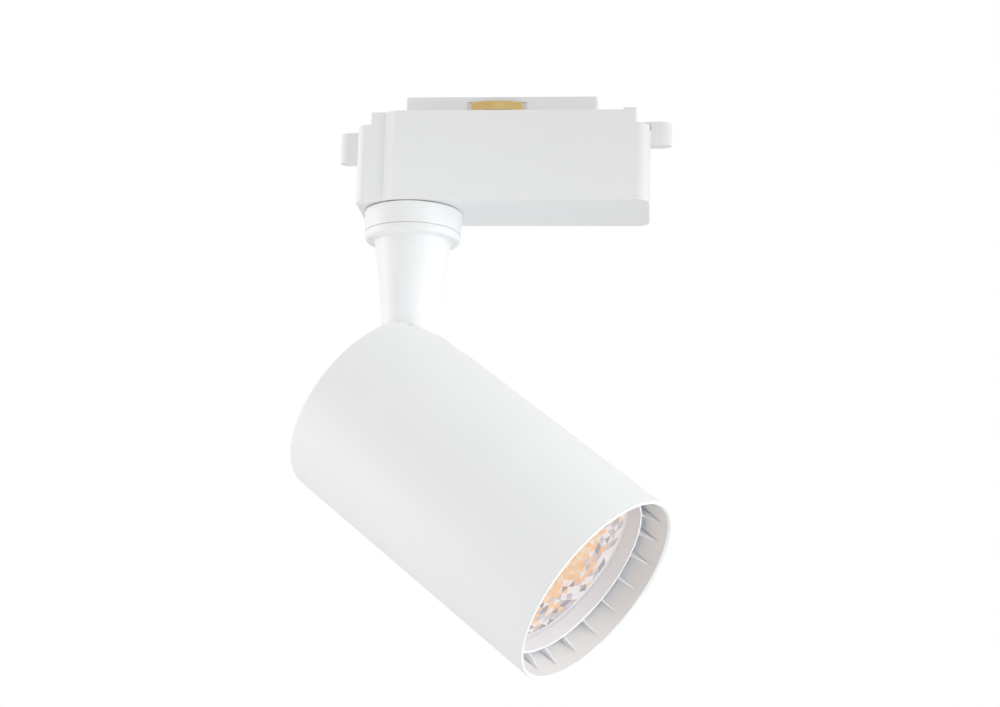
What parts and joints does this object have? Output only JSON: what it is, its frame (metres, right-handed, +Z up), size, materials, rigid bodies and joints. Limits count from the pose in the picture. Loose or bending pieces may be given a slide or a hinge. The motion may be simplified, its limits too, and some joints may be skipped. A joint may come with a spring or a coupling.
{
  "type": "track spotlight",
  "caption": "Cylindrical LED track spotlight: driver-box track adapter, swivelling tapered arm, tilting head with a recessed lens.",
  "frame": {"origin": "on the arm's swivel axis, in the plane of the adapter's top rim, which seats on the underside of the track", "axes": "+Z up, +X along the track towards the long end of the adapter box, +Y across the track"},
  "size_m": [0.1283, 0.0988, 0.2016],
  "materials": {
    "white_paint": "fine satin powder coat",
    "white_plastic": "satin moulded polycarbonate",
    "zinc_steel": "bright zinc plate",
    "brass": "bright spring brass",
    "circuit_board": "solder mask",
    "dark_plastic": "moulded",
    "capacitor_sleeve": "shrunk sleeve",
    "copper_winding": "enamelled wire",
    "grey_cable": "silicone sleeve",
    "heat_sink_aluminium": "die cast, bead blasted",
    "thermal_silicone": "soft pad",
    "lamp_board": "white ceramic",
    "phosphor": "silicone over phosphor",
    "red_lead": "insulation",
    "black_lead": "insulation",
    "clear_optic": "clear moulded optic"
  },
  "bodies": {
    "adapter": {"adapter_body": "white_plastic", "adapter_lid": "white_plastic", "lid_screw_1": "zinc_steel", "lid_screw_2": "zinc_steel", "lid_screw_3": "zinc_steel", "lid_screw_4": "zinc_steel", "contact_live": "brass", "contact_neutral": "brass", "driver_board": "circuit_board", "transformer": "dark_plastic", "mains_capacitor": "capacitor_sleeve", "output_capacitor": "capacitor_sleeve", "driver_chip": "dark_plastic", "choke": "copper_winding", "terminal_block": "white_plastic", "board_screw_1": "zinc_steel", "board_screw_2": "zinc_steel", "swivel_boss": "white_paint", "boss_screw_1": "zinc_steel", "boss_screw_2": "zinc_steel", "driver_output_lead": "grey_cable", "lock_latch_spring": "zinc_steel", "release_latch_spring": "zinc_steel"},
    "lock_latch": {"lock_latch": "white_plastic"},
    "release_latch": {"release_latch": "white_plastic"},
    "arm": {"arm": "white_paint", "swivel_washer": "zinc_steel", "swivel_spring_washer": "zinc_steel", "swivel_nut": "zinc_steel", "arm_cable": "grey_cable"},
    "head": {"pivot_bracket": "zinc_steel", "bracket_screw_1": "zinc_steel", "bracket_screw_2": "zinc_steel", "tilt_bolt": "zinc_steel", "tilt_nut": "zinc_steel", "tilt_washer_left": "zinc_steel", "tilt_washer_right": "zinc_steel", "head_tube": "white_paint", "rear_cover": "white_paint", "rear_screw_1": "zinc_steel", "rear_screw_2": "zinc_steel", "rear_screw_3": "zinc_steel", "standoff_1": "zinc_steel", "standoff_2": "zinc_steel", "standoff_3": "zinc_steel", "heat_sink": "heat_sink_aluminium", "thermal_pad": "thermal_silicone", "cob_board": "lamp_board", "cob_emitter": "phosphor", "cob_holder": "white_plastic", "holder_screw_1": "zinc_steel", "holder_screw_2": "zinc_steel", "led_lead_positive": "red_lead", "led_lead_negative": "black_lead", "optic_lens": "clear_optic", "lens_carrier": "white_plastic", "trim_ring": "white_plastic"}
  },
  "joints": [
    {"name": "pan", "type": "hinge", "parent": "adapter", "child": "arm", "pos_m": [0, 0, -0.04], "axis": [0, 0, 1], "range_deg": [-153.5, 196.5]},
    {"name": "tilt", "type": "hinge", "parent": "arm", "child": "head", "pos_m": [0, 0, -0.1114], "axis": [0.3673, 0.9301, 0], "range_deg": [-1.85, 53.15]},
    {"name": "lock_latch_pull", "type": "slide", "parent": "adapter", "child": "lock_latch", "axis": [0, 0, -1], "range_m": [0, 0.004], "stiffness_N_per_m": 400, "springref_m": -0.002, "deforming": ["lock_latch_spring"]},
    {"name": "release_latch_pull", "type": "slide", "parent": "adapter", "child": "release_latch", "axis": [0, 0, -1], "range_m": [0, 0.004], "stiffness_N_per_m": 400, "springref_m": -0.002, "deforming": ["release_latch_spring"]}
  ]
}
